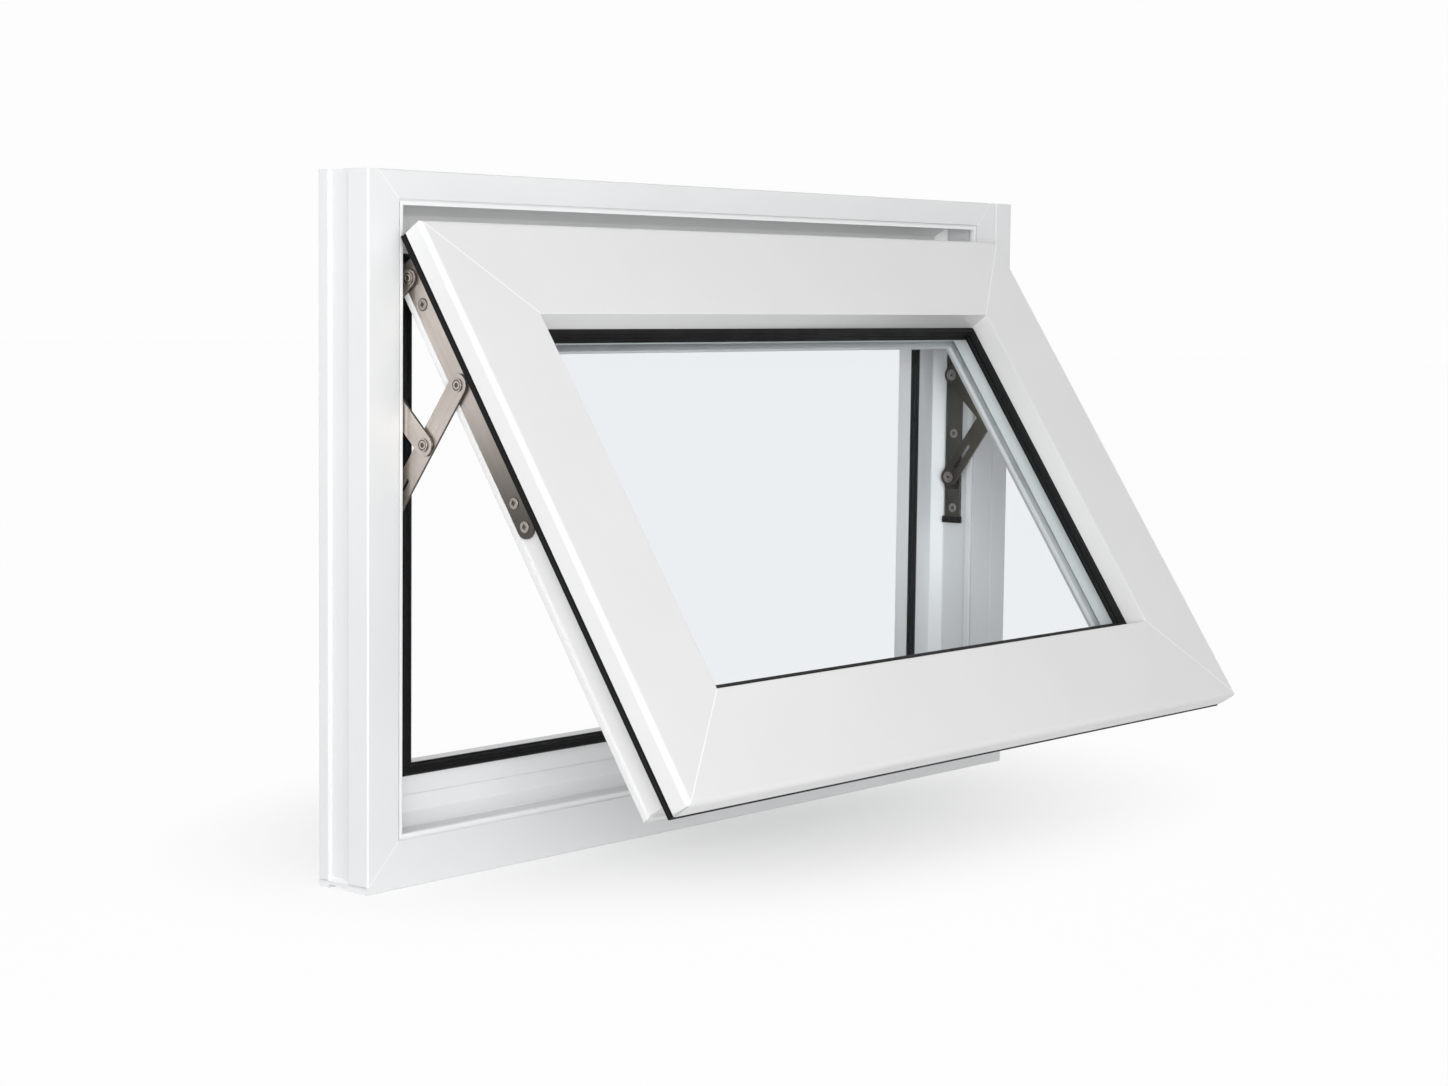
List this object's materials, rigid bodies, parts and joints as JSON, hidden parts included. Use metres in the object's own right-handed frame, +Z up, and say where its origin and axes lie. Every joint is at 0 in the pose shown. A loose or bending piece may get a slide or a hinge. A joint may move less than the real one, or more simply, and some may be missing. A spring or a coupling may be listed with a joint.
{
  "type": "top hung awning window",
  "caption": "White top hung awning window with mitred frame and sash, black gaskets and double glazing, held open on steel side stays.",
  "frame": {"origin": "on the underside of the sill, halfway along the mitred frame and in the middle of its front foot", "axes": "+X along the window to the right seen from outside, +Y towards the inside of the building, +Z up"},
  "size_m": [0.935, 0.379, 0.6],
  "materials": {
    "frame_white": "satin white plastic profile",
    "sash_white": "satin white plastic profile",
    "bead_white": "satin white plastic bead",
    "black_gasket": "soft black rubber",
    "glass": "clear float glass",
    "spacer_pale": "pale warm edge spacer",
    "track_steel": "brushed stainless steel",
    "shoe_steel": "brushed stainless steel",
    "arm_steel": "brushed stainless steel",
    "cap_black": "moulded black plastic"
  },
  "bodies": {
    "root": {"extension_profile": "frame_white", "frame_gasket_bottom": "black_gasket", "frame_gasket_left": "black_gasket", "frame_gasket_right": "black_gasket", "frame_gasket_top": "black_gasket", "frame_head": "frame_white", "frame_left_jamb": "frame_white", "frame_right_jamb": "frame_white", "frame_sill": "frame_white", "glass_spacer": "spacer_pale", "glazing_bead_bottom": "bead_white", "glazing_bead_left": "bead_white", "glazing_bead_right": "bead_white", "glazing_bead_top": "bead_white", "glazing_gasket": "black_gasket", "inner_pane": "glass", "left_stay_brace_arm": "arm_steel", "left_stay_brace_shoe": "shoe_steel", "left_stay_end_cap": "cap_black", "left_stay_long_arm": "arm_steel", "left_stay_lower_shoe": "shoe_steel", "left_stay_sash_bar": "arm_steel", "left_stay_top_block": "shoe_steel", "left_stay_top_link": "arm_steel", "left_stay_track": "track_steel", "outer_pane": "glass", "right_stay_brace_arm": "arm_steel", "right_stay_brace_shoe": "shoe_steel", "right_stay_end_cap": "cap_black", "right_stay_long_arm": "arm_steel", "right_stay_lower_shoe": "shoe_steel", "right_stay_sash_bar": "arm_steel", "right_stay_top_block": "shoe_steel", "right_stay_top_link": "arm_steel", "right_stay_track": "track_steel", "sash_bottom_rail": "sash_white", "sash_left_stile": "sash_white", "sash_right_stile": "sash_white", "sash_seal_bottom": "black_gasket", "sash_seal_left": "black_gasket", "sash_seal_right": "black_gasket", "sash_seal_top": "black_gasket", "sash_top_rail": "sash_white"}
  },
  "joints": []
}
